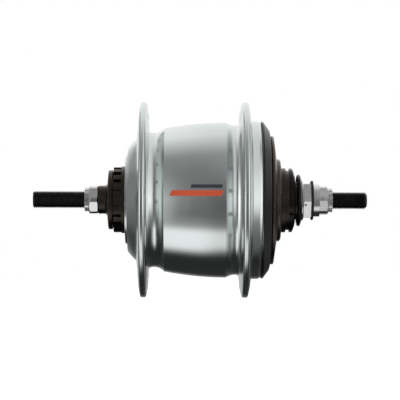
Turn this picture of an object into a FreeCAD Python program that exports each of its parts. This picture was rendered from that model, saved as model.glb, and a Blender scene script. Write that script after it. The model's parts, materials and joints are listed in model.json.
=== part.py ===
import FreeCAD, Part
import math
import os
import Sketcher

# Bicycle hub gear. Millimetres. The axle lies along Y with the brake side at +Y and the drive side
# at -Y, +Z is up and +X is the direction of travel. The origin is on the axle centreline, midway
# between the outer faces of the two locknuts. A "station" is a distance along the axle from that
# origin toward the drive side, so a station is -Y.

V = FreeCAD.Vector
doc = FreeCAD.newDocument("HubGear")
sheet = doc.addObject("Spreadsheet::Sheet", "Dims")


# ---------------------------------------------------------------- driving dimensions

DIMENSIONS = {
    "general": [
        ("run_gap", 0.05, "running clearance between a bore and its journal"),
        ("chamfer_small", 0.6, "chamfer of the left axle end and of the cone neck"),
        ("edge_break", 0.3, "small chamfer on turned edges"),
        ("over", 1.0, "how far a cutting shape reaches past the material"),
    ],
    "axle": [
        ("axle_left_end", -96.7, "station of the brake end"),
        ("axle_right_end", 87.3, "station of the drive end"),
        ("axle_radius", 4.76, "3/8 inch thread, over its crests"),
        ("thread_pitch_r", 4.45, "engaged thread, drawn at its pitch radius"),
        ("axle_tip", 1.3, "chamfer of the right axle end"),
        ("core_radius", 5.2, "thicker middle of the axle"),
        ("core_left", -44.5, "left shoulder"),
        ("core_right", 44.0, "right shoulder"),
        ("pawl_floor", 1.3, "height of the flat on which the pawls lie"),
        ("pawl_seat_x", -4.2, "wall that carries the heel of a pawl"),
    ],
    "nuts and washers": [
        ("nut_flats", 15.0, "locknut width across flats"),
        ("nut_corner_r", 8.1, "corners of the locknuts, turned down"),
        ("nut_chamfer", 1.0, "outer chamfer of the locknuts"),
        ("left_nut_turn", 181.4, "turn of a corner of the left locknut"),
        ("right_nut_turn", 173.4, "turn of a corner of the right locknut"),
        ("left_nut_outer", -66.0, "outer face"),
        ("left_nut_inner", -61.0, "inner face"),
        ("right_nut_inner", 61.0, "inner face"),
        ("right_nut_outer", 66.0, "outer face"),
        ("toothed_radius", 6.5, "toothed washer"),
        ("toothed_width", 2.2, "toothed washer thickness"),
        ("toothed_depth", 0.6, "depth of its teeth"),
        ("toothed_count", 14, "teeth around it"),
        ("washer_bore", 4.85, "bore of the toothed washers"),
    ],
    "left cone": [
        ("neck_radius", 7.75, "plain neck"),
        ("neck_end", -56.9, "where the neck starts to flare"),
        ("flare_end", -55.7, "foot of the flare"),
        ("flare_radius", 9.7, "seat of the left dust cap"),
        ("flare_bend", 2.3, "hollow of the flare"),
        ("left_cap_radius", 16.3, "left dust cap"),
        ("left_cap_outer", -54.8, "outer face of its rim"),
        ("left_cap_inner", -52.8, "inner face of its rim"),
        ("left_cap_back", 1.0, "how far the rim reaches past the inner side of the cap"),
        ("left_cap_round", 0.6, "rounding of the rim"),
        ("left_cap_rim", 0.8, "thickness of the rim"),
        ("left_cap_foot", 1.2, "inner side of the cap, inside the rim"),
        ("left_shoulder_r", 11.6, "cone shoulder outside the balls"),
    ],
    "left bearing": [
        ("left_ball_r", 2.38, "3/16 inch balls"),
        ("left_pitch_r", 12.2, "ball circle"),
        ("left_ball_s", -47.0, "ball plane"),
        ("left_ball_count", 11, "balls"),
        ("race_gap", 0.04, "how much larger a race is than its ball"),
    ],
    "brake boss": [
        ("boss_outer_s", -52.2, "outer face"),
        ("spline_end_s", -47.8, "end of the splines"),
        ("boss_end_s", -46.2, "end of the solid ring"),
        ("boss_tail_s", -41.0, "end inside the shell"),
        ("spline_tip_r", 18.0, "over the splines"),
        ("solid_ring_r", 18.45, "ring behind the splines"),
        ("spline_root_r", 16.4, "floor between splines"),
        ("spline_count", 18, "splines"),
        ("spline_gap", 3.0, "width of a gap between splines"),
        ("boss_turn", 6.6, "turn of the first gap from level"),
        ("boss_tail_r", 16.0, "press seat in the shell"),
        ("boss_lip_r", 10.6, "lip inside the balls"),
    ],
    "hub shell": [
        ("shell_left_s", -45.6, "left end"),
        ("cap_step_r", 24.3, "raised flat of the left end"),
        ("cap_step_s", -44.6, "foot of that flat"),
        ("cap_edge_s", -44.3, "edge of the end face"),
        ("cap_edge_r", 28.6, "edge of the end face"),
        ("cap_foot_s", -39.6, "foot of the bevelled end"),
        ("cap_foot_r", 33.6, "foot of the bevelled end"),
        ("cap_dome", 30.0, "slight dome of the bevel"),
        ("flange_r", 53.9, "spoke flanges"),
        ("flange_rim", 1.3, "rounding of the rims"),
        ("left_flange_s", -35.8, "middle of the left flange"),
        ("left_flange_half", 1.8, "half its thickness below the rounded rim"),
        ("left_flat_half", 2.45, "half its thickness where the holes are"),
        ("left_foot_s", -32.6, "inner foot of the left flange"),
        ("left_foot_r", 37.6, "inner foot of the left flange"),
        ("right_flange_s", 20.0, "middle of the right flange"),
        ("right_flange_half", 1.86, "half its thickness below the rounded rim"),
        ("right_flat_half", 2.75, "half its thickness where the holes are"),
        ("flat_low_r", 44.6, "inner edge of the flat faces with the holes"),
        ("flat_high_r", 48.8, "outer edge of the flat faces with the holes"),
        ("right_foot_s", 16.6, "inner foot of the right flange"),
        ("right_foot_r", 41.7, "inner foot of the right flange"),
        ("neck_left_s", -29.8, "narrowest place beside the left flange"),
        ("neck_left_r", 37.0, "narrowest place beside the left flange"),
        ("neck_left_bend", 6.83, "hollow from the flange to the narrowest place"),
        ("edge_s", -24.3, "sharp edge where the barrel starts"),
        ("edge_r", 39.5, "sharp edge where the barrel starts"),
        ("edge_bend", 7.3, "hollow from the narrowest place to the edge"),
        ("crown_a_s", -10.2, "end of the rounder part of the barrel"),
        ("crown_a_r", 41.6, "end of the rounder part of the barrel"),
        ("crown_a_bend", 200.0, "curvature of the rounder part"),
        ("crown_b_s", 9.3, "end of the barrel"),
        ("crown_b_r", 42.75, "end of the barrel"),
        ("crown_b_bend", 163.0, "curvature of the flatter part"),
        ("barrel_step_s", 11.0, "edge after the barrel"),
        ("barrel_step_r", 42.0, "edge after the barrel"),
        ("neck_right_s", 14.6, "narrowest place beside the right flange"),
        ("neck_right_r", 41.15, "narrowest place beside the right flange"),
        ("step_bend", 8.05, "hollow from the barrel to the narrowest place"),
        ("neck_right_bend", 3.9, "hollow from the narrowest place to the flange"),
        ("collar_start_s", 23.4, "ring outside the right flange"),
        ("collar_r", 43.5, "ring outside the right flange"),
        ("collar_bevel_s", 27.0, "start of its bevel"),
        ("collar_end_s", 28.7, "end of its bevel"),
        ("collar_end_r", 42.6, "end of its bevel"),
        ("mouth_r", 40.5, "spigot for the dust cap"),
        ("mouth_s", 31.0, "right end of the shell"),
        ("bore_r", 38.0, "main bore"),
        ("bore_left_s", -20.5, "left end of the main bore"),
        ("small_bore_r", 34.0, "bore at the output ring gear"),
        ("small_bore_s", -22.5, "right end of the small bore"),
        ("small_bore_left_s", -36.5, "left end of the small bore"),
        ("end_wall_s", -41.0, "inside of the left end"),
        ("end_wall_r", 26.0, "inside of the left end"),
        ("spoke_count", 18, "holes in one flange"),
        ("spoke_left_r", 46.4, "circle of the left holes"),
        ("spoke_right_r", 47.0, "circle of the right holes"),
        ("spoke_hole_r", 1.5, "holes for the spokes"),
        ("spoke_reach", 3.3, "half the length of the drill path through a flange"),
        ("spoke_turn", 2.0, "turn of the first left hole"),
    ],
    "drive side caps": [
        ("lip_r", 43.3, "lip of the dust cap"),
        ("lip_s", 29.0, "back of the lip"),
        ("lip_front_s", 29.8, "front of the lip"),
        ("face_s", 33.2, "edge of the front face"),
        ("face_r", 38.6, "edge of the front face"),
        ("cap_front_s", 33.7, "front of the dust cap"),
        ("cap_front_r", 36.6, "edge of its flat front"),
        ("cap_skirt", 1.4, "thickness of its skirt over the spigot"),
        ("cap_hole_r", 24.0, "hole of the dust cap"),
        ("cap_wall", 1.2, "thickness of the dust cap"),
        ("disc_r", 35.4, "dust disc on the driver"),
        ("disc_s", 34.1, "back of the disc"),
        ("disc_rim_s", 35.6, "front of its rim"),
        ("disc_front_s", 37.3, "front of its boss"),
        ("disc_front_r", 23.8, "edge of its boss"),
        ("seal_ring_r", 22.6, "ring in front of the disc"),
        ("seal_ring_s", 37.3, "back of the ring"),
        ("seal_ring_rim_s", 38.8, "front of its rim"),
        ("seal_ring_front_s", 39.5, "front of its face"),
        ("seal_ring_front_r", 21.6, "edge of its face"),
    ],
    "driver": [
        ("driver_r", 17.7, "body"),
        ("driver_step_s", 42.2, "shoulder behind the sprocket"),
        ("sprocket_seat_r", 16.4, "sprocket seat"),
        ("snap_groove_s", 44.2, "start of the groove for the snap ring"),
        ("snap_groove_r", 15.8, "floor of the groove"),
        ("snap_end_s", 46.0, "end of the groove"),
        ("driver_land_r", 16.8, "land outside the groove"),
        ("driver_land_s", 46.3, "end of the land"),
        ("driver_end_s", 47.3, "outer end"),
        ("driver_end_r", 14.0, "edge of the outer end"),
        ("lug_count", 3, "notches for the sprocket lugs"),
        ("lug_width", 5.0, "width of a notch"),
        ("lug_depth", 1.8, "depth of a notch"),
        ("lug_turn", 200.0, "turn of the first notch"),
        ("driver_bore_r", 10.0, "bore"),
        ("driver_shoulder_r", 21.8, "shoulder outside the main balls"),
        ("driver_shoulder_s", 32.2, "end of the shoulder"),
        ("bell_seat_s", 23.3, "shoulder that carries the bell"),
        ("bell_seat_r", 14.0, "spigot that carries the bell"),
        ("bell_back_s", 20.8, "inner end"),
        ("snap_r", 17.6, "snap ring"),
        ("snap_opening", 4.6, "gap of the snap ring"),
        ("snap_play", 0.1, "play of the snap ring in its groove"),
    ],
    "driver bearings": [
        ("main_ball_r", 2.38, "3/16 inch balls"),
        ("main_pitch_r", 22.2, "ball circle"),
        ("main_ball_s", 26.8, "ball plane"),
        ("main_ball_count", 17, "balls"),
        ("cup_lip_r", 20.9, "lip of the shell cup inside the balls"),
        ("cup_back_s", 24.2, "inner face of the shell cup"),
        ("cup_front_s", 30.5, "outer face of the shell cup"),
        ("cup_rim_r", 35.0, "inside of its rim"),
        ("cup_web_s", 27.4, "front of its web"),
        ("cup_wall", 2.0, "wall around the balls"),
        ("cup_step", 1.0, "how far that wall stays behind the front"),
        ("driver_ball_r", 1.98, "5/32 inch balls"),
        ("driver_pitch_r", 11.0, "ball circle"),
        ("driver_ball_s", 43.4, "ball plane"),
        ("driver_ball_count", 12, "balls"),
    ],
    "right cone": [
        ("cone_bore_r", 6.6, "bore over the shift sleeve"),
        ("cone_tube_r", 8.9, "tube that carries the fixed sun"),
        ("cone_inner_s", 12.0, "inner end"),
        ("cone_step", 1.0, "land beside the ball groove"),
        ("cone_shoulder_r", 10.6, "shoulder outside the balls"),
        ("cone_end_s", 50.9, "outer end"),
        ("web_s", 46.5, "start of the web around the axle"),
        ("window_angle", 142.0, "windows in the web"),
        ("window_turn", -63.0, "turn of the first window"),
        ("bead_r", 14.3, "rolled bead of the seal"),
        ("bead_start_s", 48.5, "back of the bead"),
        ("bead_end_s", 50.5, "front of the bead"),
        ("seal_front_s", 51.0, "front of the seal"),
        ("seal_front_r", 12.0, "edge of its front"),
        ("seal_foot_r", 11.3, "recess around the shift collar"),
        ("seal_wall", 0.8, "thickness of the seal"),
        ("big_hex_flats", 18.6, "large hexagon across flats"),
        ("big_hex_corner_r", 10.7, "corners of the large hexagon"),
        ("big_hex_s", 52.2, "inner face of the large hexagon"),
        ("big_hex_end_s", 56.3, "outer face of the large hexagon"),
        ("big_hex_turn", 2.9, "turn of the large hexagon"),
        ("pin_hole_r", 0.7, "blind hole in the large hexagon"),
        ("pin_hole_s", 53.2, "station of that hole"),
        ("pin_hole_floor", 8.4, "distance of its floor from the axle line"),
        ("pin_hole_turn", 195.0, "turn of that hole"),
        ("o_ring_r", 10.9, "black ring"),
        ("o_ring_s", 57.7, "outer face of the black ring"),
        ("spacer_r", 8.95, "spacer"),
    ],
    "shift sleeve": [
        ("sleeve_bore_r", 5.3, "bore over the axle core"),
        ("sleeve_r", 6.4, "tube"),
        ("sleeve_left_s", -35.0, "inner end of the tube"),
        ("finger_s", 45.6, "where the tube turns into two fingers"),
        ("finger_width", 2.5, "width of a finger"),
        ("collar_in_s", 51.0, "inner face of the collar"),
        ("collar_out_s", 52.1, "outer face of the collar"),
        ("collar_out_r", 11.0, "collar"),
        ("collar_bore_r", 4.85, "bore of the collar"),
        ("collar_slot", 2.2, "width of a drive slot"),
        ("collar_slot_depth", 1.8, "radial depth of a drive slot"),
        ("collar_slot_turn", 194.5, "turn of the first drive slot"),
        ("pawl_window_angle", 182.0, "window for the raised pawl"),
        ("pawl_window_turn", -25.0, "turn of that window"),
    ],
    "gears": [
        ("gear_module", 1.0, "tooth size of both stages"),
        ("pressure_angle", 20.0, "of all teeth"),
        ("addendum", 0.8, "tooth height above the pitch circle, in modules"),
        ("dedendum", 1.1, "tooth depth below the pitch circle, in modules"),
        ("thinning", 0.1, "how much thinner a tooth is than its space"),
        ("planet_circle_r", 21.0, "circle of planet axes in both stages"),
        ("planet_count", 3, "planets in one stage"),
        ("pin_r", 2.5, "planet pins"),
        ("sun_bore_r", 6.45, "bore of the three suns on the sleeve"),
        ("ring_blank", 5.0, "radial depth of a ring gear blank"),
        ("sun_fixed_teeth", 30, "sun of the first stage"),
        ("planet_sun_teeth", 12, "planet step at the fixed sun"),
        ("planet_ring_teeth", 24, "planet step at the input ring"),
        ("ring_input_teeth", 66, "input ring"),
        ("sun_high_teeth", 28, "locked sun of the second stage"),
        ("sun_mid_teeth", 24, "middle sun"),
        ("sun_low_teeth", 18, "smallest sun"),
        ("ring_output_teeth", 60, "output ring"),
    ],
    "gear stations": [
        ("ring_step_start", 5.0, "first stage, planet step at the ring"),
        ("ring_step_end", 11.5, "first stage, between the two steps"),
        ("sun_step_end", 18.0, "first stage, end of the planets"),
        ("mid_step_start", -33.2, "second stage, start of the planets"),
        ("mid_step_end", -27.0, "second stage, first to second step"),
        ("high_step_end", -20.8, "second stage, second to third step"),
        ("low_step_end", -14.3, "second stage, end of the planets"),
        ("face_gap", 0.6, "axial space beside a sun"),
        ("thrust_washer_r", 7.5, "thrust washers"),
        ("thrust_washer_width", 0.5, "thrust washers"),
    ],
    "carriers": [
        ("drum_r", 28.0, "first carrier"),
        ("drum_left_s", 3.0, "first carrier"),
        ("drum_right_s", 20.2, "first carrier"),
        ("drum2_r", 27.5, "second carrier"),
        ("drum2_left_s", -35.4, "second carrier"),
        ("drum2_right_s", -12.0, "second carrier"),
        ("drum_wall_r", 23.5, "inside of the carrier walls"),
        ("plate", 1.4, "thickness of the carrier plates"),
        ("window_r", 13.6, "windows for the planets"),
        ("right_plate_bore", 9.3, "first carrier on the cone tube"),
        ("carrier_bore", 6.7, "carriers over the sleeve"),
        ("plate_gap", 0.3, "space between a planet and a plate"),
        ("cam_r", 30.2, "clutch cam"),
        ("cam_hub_r", 12.0, "hub of the clutch cam"),
        ("cam_left_s", -8.5, "clutch cam"),
        ("cam_right_s", -0.5, "clutch cam"),
        ("roller_r", 2.95, "clutch rollers"),
        ("roller_circle_r", 33.2, "circle of the rollers"),
        ("roller_count", 9, "rollers"),
        ("liner_r", 36.5, "inside of the clutch race"),
        ("cage_in_r", 31.0, "inside of the roller cage"),
        ("cage_out_r", 35.4, "outside of the roller cage"),
        ("cage_margin", 1.0, "how far the cage and the race reach past the rollers"),
        ("seat_margin", 0.1, "how far a roller seat reaches past the roller"),
    ],
    "ring gears": [
        ("bell_r", 36.5, "bell of the input ring"),
        ("bell_rim_r", 34.5, "inside of the bell"),
        ("bell_left_s", 4.5, "open end of the bell"),
    ],
    "ball cages": [
        ("cage_gap", 0.3, "space between a cage and the races"),
        ("ball_play", 0.06, "how much larger a seat is than its ball"),
        ("left_cage_far", 3.4, "far side of the left cage from the ball plane"),
        ("cage_near", 0.6, "near side of a cage from the ball plane"),
        ("driver_cage_far", 2.9, "far side of the driver cage"),
        ("main_cage_far", 3.2, "far side of the main cage"),
    ],
    "pawls": [
        ("pawl_heel_r", 1.1, "round heel"),
        ("pawl_heel_x", -3.05, "pivot"),
        ("pawl_heel_z", 2.6, "pivot"),
        ("pawl_length", 6.9, "from the pivot to the tip"),
        ("pawl_thickness", 1.8, "lever"),
        ("pawl_raise", 35.0, "slope of the raised pawl"),
        ("pawl_side_gap", 0.15, "space beside a pawl"),
        ("notch_count", 10, "ratchet notches in the locked sun"),
        ("notch_r", 7.9, "floor of the notches"),
        ("notch_lead", 58.0, "angle where a notch starts"),
        ("notch_peak", 73.5, "angle of its deepest point"),
        ("notch_tail", 87.0, "angle where it ends"),
    ],
}


class Dim:
    """A length that carries both its value and its spreadsheet formula."""

    def __init__(self, value, text):
        self.value = float(value)
        self.text = text

    def __add__(self, other):
        other = dim(other)
        return Dim(self.value + other.value, "(%s + %s)" % (self.text, other.text))

    def __sub__(self, other):
        other = dim(other)
        return Dim(self.value - other.value, "(%s - %s)" % (self.text, other.text))

    def __mul__(self, other):
        other = dim(other)
        return Dim(self.value * other.value, "(%s * %s)" % (self.text, other.text))

    def __truediv__(self, other):
        other = dim(other)
        return Dim(self.value / other.value, "(%s / %s)" % (self.text, other.text))

    def __neg__(self):
        return Dim(-self.value, "(0 - %s)" % self.text)


def dim(value):
    return value if isinstance(value, Dim) else Dim(value, repr(float(value)))


class Book:
    """Attribute access to the sheet: book.axle_radius is the cell with that alias."""


def fill_sheet():
    book = Book()
    row = 1
    for group, entries in DIMENSIONS.items():
        sheet.set("A%d" % row, group)
        row += 1
        for alias, value, note in entries:
            sheet.set("A%d" % row, alias)
            sheet.set("B%d" % row, str(value))
            sheet.set("C%d" % row, note)
            sheet.setAlias("B%d" % row, alias)
            setattr(book, alias, Dim(value, "Dims.%s" % alias))
            row += 1
    return book


def square_root(value):
    return Dim(math.sqrt(value.value), "sqrt(%s)" % value.text)


class Bearing:
    """A ball set between a race of smaller radius and a race of larger radius."""

    def __init__(self, station, pitch, ball, count, gap):
        self.station = station
        self.pitch = pitch
        self.ball = ball
        self.count = count
        self.race = ball + gap
        self.inner = pitch - self.race
        self.outer = pitch + self.race

    def reach(self, radius):
        """How far from the ball plane the race arc meets this radius."""
        off = radius - self.pitch
        return square_root(self.race * self.race - off * off)


d = fill_sheet()
doc.recompute()
nodes = {}
left_bearing = Bearing(d.left_ball_s, d.left_pitch_r, d.left_ball_r, d.left_ball_count, d.race_gap)
main_bearing = Bearing(d.main_ball_s, d.main_pitch_r, d.main_ball_r, d.main_ball_count, d.race_gap)
driver_bearing = Bearing(
    d.driver_ball_s, d.driver_pitch_r, d.driver_ball_r, d.driver_ball_count, d.race_gap)


# ---------------------------------------------------------------- helpers

def bind(obj, path, value):
    obj.setExpression(path, dim(value).text)


def new_body(name):
    body = doc.addObject("PartDesign::Body", "Body_" + name)
    body.Label = name
    return body


def keep(name, obj):
    """Register the object as the sub-part with this name."""
    obj.Label = name
    nodes[name] = obj
    return obj


def origin_feature(body, role):
    return [feature for feature in body.Origin.OriginFeatures if feature.Role == role][0]


def place_vertex(sketch, edge, end, x, y):
    """Fix one edge end at sketch coordinates x, y, both bound to the sheet."""
    if abs(x.value) < 1e-9:
        sketch.addConstraint(Sketcher.Constraint("PointOnObject", edge, end, -2))
    else:
        index = sketch.addConstraint(Sketcher.Constraint("DistanceX", edge, end, x.value))
        bind(sketch, "Constraints[%d]" % index, x)
    if abs(y.value) < 1e-9:
        sketch.addConstraint(Sketcher.Constraint("PointOnObject", edge, end, -1))
    else:
        index = sketch.addConstraint(Sketcher.Constraint("DistanceY", edge, end, y.value))
        bind(sketch, "Constraints[%d]" % index, y)


def arc_between(start, end, radius):
    """Arc of the given radius; a positive radius has its centre on the left of start to end."""
    chord = end - start
    middle = (start + end) * 0.5
    reach = math.sqrt(max(radius * radius - chord.Length * chord.Length / 4.0, 0.0))
    left = V(-chord.y, chord.x, 0).normalize()
    centre = middle + left * (reach if radius > 0 else -reach)
    first = math.atan2(start.y - centre.y, start.x - centre.x)
    last = math.atan2(end.y - centre.y, end.x - centre.x)
    if radius < 0:
        first, last = last, first
    if last <= first:
        last += 2 * math.pi
    return Part.ArcOfCircle(Part.Circle(centre, V(0, 0, 1), abs(radius)), first, last)


def draw_loop(sketch, points):
    """Closed outline. A point is (x, y) or (x, y, radius of the arc that starts there)."""
    corners = [V(dim(point[0]).value, dim(point[1]).value, 0) for point in points]
    total = len(points)
    first_edge = sketch.GeometryCount
    starts = []
    ends = []
    for i, point in enumerate(points):
        here = corners[i]
        there = corners[(i + 1) % total]
        if len(point) == 3:
            radius = dim(point[2])
            sketch.addGeometry(arc_between(here, there, radius.value), False)
            index = sketch.addConstraint(
                Sketcher.Constraint("Radius", first_edge + i, abs(radius.value)))
            bind(sketch, "Constraints[%d]" % index, radius if radius.value > 0 else -radius)
            starts.append(1 if radius.value > 0 else 2)
            ends.append(2 if radius.value > 0 else 1)
        else:
            sketch.addGeometry(Part.LineSegment(here, there), False)
            starts.append(1)
            ends.append(2)
    for i, point in enumerate(points):
        following = (i + 1) % total
        sketch.addConstraint(Sketcher.Constraint(
            "Coincident", first_edge + i, ends[i], first_edge + following, starts[following]))
        place_vertex(sketch, first_edge + i, starts[i], dim(point[0]), dim(point[1]))


def draw_circle(sketch, x, y, radius):
    x, y, radius = dim(x), dim(y), dim(radius)
    edge = sketch.GeometryCount
    sketch.addGeometry(Part.Circle(V(x.value, y.value, 0), V(0, 0, 1), radius.value), False)
    place_vertex(sketch, edge, 3, x, y)
    index = sketch.addConstraint(Sketcher.Constraint("Radius", edge, radius.value))
    bind(sketch, "Constraints[%d]" % index, radius)


def axial_sketch(body, name):
    """Sketch that holds the axle line: its x is -station and its y is the radius."""
    sketch = body.newObject("Sketcher::SketchObject", name)
    sketch.AttachmentSupport = (origin_feature(body, "YZ_Plane"), [""])
    sketch.MapMode = "FlatFace"
    return sketch


def cross_sketch(body, name, station, turn=0.0):
    """Sketch across the axle at a station: its x is X and its y is Z, turned about the axle."""
    sketch = body.newObject("Sketcher::SketchObject", name)
    sketch.AttachmentSupport = (origin_feature(body, "XZ_Plane"), [""])
    sketch.MapMode = "FlatFace"
    bind(sketch, "AttachmentOffset.Base.z", station)
    bind(sketch, "AttachmentOffset.Rotation.Angle", turn)
    return sketch


def mirrored(point):
    """Outline point in stations, as sketch coordinates: the sketch's x is -station."""
    bend = tuple(-dim(value) for value in point[2:])
    return (-dim(point[0]), point[1]) + bend


def turned(name, *profiles):
    """Body revolved around the axle from outlines of (station, radius) or (station, radius, bend).

    With stations to the right and radii up, a positive bend has its centre on the left of travel.
    """
    body = new_body(name)
    for number, profile in enumerate(profiles):
        sketch = axial_sketch(body, "Profile_%s_%d" % (name, number))
        draw_loop(sketch, [mirrored(point) for point in profile])
        feature = body.newObject("PartDesign::Revolution", "Turn_%s_%d" % (name, number))
        feature.Profile = sketch
        feature.ReferenceAxis = (sketch, ["H_Axis"])
        feature.Angle = 360
        doc.recompute()
    return body


def repeat(body, feature, count):
    pattern = body.newObject("PartDesign::PolarPattern", "Around_" + feature.Name)
    pattern.Originals = [feature]
    pattern.Axis = (origin_feature(body, "Y_Axis"), [""])
    pattern.Angle = 360
    bind(pattern, "Occurrences", count)
    body.Tip = pattern
    doc.recompute()


def cut_check(body, before, what):
    doc.recompute()
    if body.Shape.Volume >= before - 1e-6:
        raise ValueError("%s cuts nothing from %s" % (what, body.Label))


def pocket(body, what, draw, end_station, depth, count=1, turn=0.0):
    """Cut the drawn outline from end_station back toward the brake side, repeated around."""
    before = body.Shape.Volume
    sketch = cross_sketch(body, "Outline_%s_%s" % (body.Label, what), end_station, turn)
    draw(sketch)
    doc.recompute()
    feature = body.newObject("PartDesign::Pocket", "Cut_%s_%s" % (body.Label, what))
    feature.Profile = sketch
    bind(feature, "Length", depth)
    cut_check(body, before, what)
    if dim(count).value > 1:
        repeat(body, feature, count)
    return feature


def block(x_low, x_high, half_width):
    """Drawing function for a rectangle that is symmetric about the sketch's x axis."""
    half_width = dim(half_width)
    return lambda sketch: draw_loop(sketch, [
        (x_low, -half_width), (x_high, -half_width), (x_high, half_width), (x_low, half_width)])


def disc(x, radius):
    """Drawing function for a circle on the sketch's x axis."""
    return lambda sketch: draw_circle(sketch, x, 0.0, radius)


def sphere_feature(body, kind, name, station, pitch, radius):
    ball = body.newObject("PartDesign::%sSphere" % kind, name)
    bind(ball, "Radius", radius)
    bind(ball, "Placement.Base.x", pitch)
    bind(ball, "Placement.Base.y", -dim(station))
    doc.recompute()
    return ball


def ball_set(name, station, pitch, radius, count):
    body = new_body(name)
    repeat(body, sphere_feature(body, "Additive", "Ball_" + name, station, pitch, radius), count)
    return keep(name, body)


def ball_cage(name, profile, station, pitch, radius, count):
    body = turned(name, profile)
    ball = sphere_feature(body, "Subtractive", "Seat_" + name, station, pitch, radius)
    repeat(body, ball, count)
    return keep(name, body)


def sector(body, what, start, end, radius, turn, angle, count=1):
    """Cut a pie-shaped window through the wall of a tube between two stations."""
    before = body.Shape.Volume
    start, end = dim(start), dim(end)
    wedge = body.newObject("PartDesign::SubtractiveCylinder", "Window_%s_%s" % (body.Label, what))
    bind(wedge, "Radius", radius)
    bind(wedge, "Height", end - start)
    bind(wedge, "Angle", angle)
    wedge.Placement = FreeCAD.Placement(
        V(0, -start.value, 0),
        FreeCAD.Rotation(V(1, 0, 0), 90) * FreeCAD.Rotation(V(0, 0, 1), dim(turn).value))
    bind(wedge, "Placement.Base.y", -start)
    cut_check(body, before, what)
    if count > 1:
        repeat(body, wedge, count)


def hexagon(name, start, end, flats, corner, bevels, turn):
    """Hexagonal nut: a disc bevelled at both faces, with six flats milled on it."""
    start, end = dim(start), dim(end)
    first, last = bevels
    body = turned(name, [
        (start, d.thread_pitch_r), (start, corner - first), (start + first, corner),
        (end - last, corner), (end, corner - last), (end, d.thread_pitch_r)])
    half_side = 30
    pocket(body, "flats", block(flats / 2, corner + d.over, corner), end, end - start, 6,
           turn + half_side)
    return keep(name, body)


# ---------------------------------------------------------------- stationary pieces

def make_axle():
    left_free = d.left_nut_outer - d.toothed_width
    right_free = d.right_nut_outer + d.toothed_width
    body = turned("axle", [
        (d.axle_left_end, 0.0), (d.axle_left_end, d.axle_radius - d.chamfer_small),
        (d.axle_left_end + d.chamfer_small, d.axle_radius), (left_free, d.axle_radius),
        (left_free, d.thread_pitch_r), (d.core_left, d.thread_pitch_r),
        (d.core_left, d.core_radius), (d.core_right, d.core_radius),
        (d.core_right, d.thread_pitch_r), (right_free, d.thread_pitch_r),
        (right_free, d.axle_radius), (d.axle_right_end - d.axle_tip, d.axle_radius),
        (d.axle_right_end, d.axle_radius - d.axle_tip), (d.axle_right_end, 0.0)])
    reach = d.core_radius + d.over

    def seat(sketch):
        draw_loop(sketch, [(d.pawl_seat_x, d.pawl_floor), (reach, d.pawl_floor),
                           (reach, reach), (d.pawl_seat_x, reach)])

    for name, start, end in sun_faces():
        pocket(body, "seat_" + name, seat, end, end - start)
    return keep("axle", body)


def sun_faces():
    """Stations of the three suns of the second stage: each face stands clear of its washers."""
    gap = d.face_gap
    return [("mid", d.mid_step_start + gap / 2, d.mid_step_end - gap / 2),
            ("high", d.mid_step_end + gap / 2, d.high_step_end - gap / 2),
            ("low", d.high_step_end + gap / 2, d.low_step_end - gap / 2)]


def make_locknuts():
    hexagon("locknut_left", d.left_nut_outer, d.left_nut_inner, d.nut_flats, d.nut_corner_r,
            (d.nut_chamfer, d.edge_break), d.left_nut_turn)
    hexagon("locknut_right", d.right_nut_inner, d.right_nut_outer, d.nut_flats, d.nut_corner_r,
            (d.edge_break, d.nut_chamfer), d.right_nut_turn)


def make_toothed_washer(name, start):
    start = dim(start)
    end = start + d.toothed_width
    root = d.toothed_radius - d.toothed_depth
    body = turned(name, [(start, d.washer_bore), (start, d.toothed_radius),
                         (end, d.toothed_radius), (end, d.washer_bore)])

    def tooth_space(sketch):
        tip = d.toothed_radius + d.toothed_depth
        draw_loop(sketch, [(root, 0.0), (tip, -d.toothed_depth * 2), (tip, d.toothed_depth * 2)])

    pocket(body, "teeth", tooth_space, end, d.toothed_width, d.toothed_count)
    return keep(name, body)


def make_left_cone():
    edge = d.chamfer_small
    seat = left_bearing
    bore = d.thread_pitch_r
    back = d.left_cap_inner - d.left_cap_back
    body = turned("left_cone", [
        (d.left_nut_inner, bore), (d.left_nut_inner, d.neck_radius - edge),
        (d.left_nut_inner + edge, d.neck_radius), (d.neck_end, d.neck_radius, d.flare_bend),
        (d.flare_end, d.flare_radius), (back, d.flare_radius), (back, d.left_shoulder_r),
        (seat.station - seat.reach(d.left_shoulder_r), d.left_shoulder_r, seat.race),
        (seat.station, seat.inner), (d.core_left, seat.inner), (d.core_left, bore)])
    keep("left_cone", body)
    rim = d.left_cap_radius
    cap = turned("left_dust_cap", [
        (d.flare_end, d.flare_radius), (d.left_cap_outer - d.edge_break, rim - d.left_cap_round),
        (d.left_cap_outer, rim), (d.left_cap_inner, rim), (d.left_cap_inner, rim - d.left_cap_rim),
        (back, rim - d.left_cap_foot), (back, d.flare_radius)])
    keep("left_dust_cap", cap)


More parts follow.
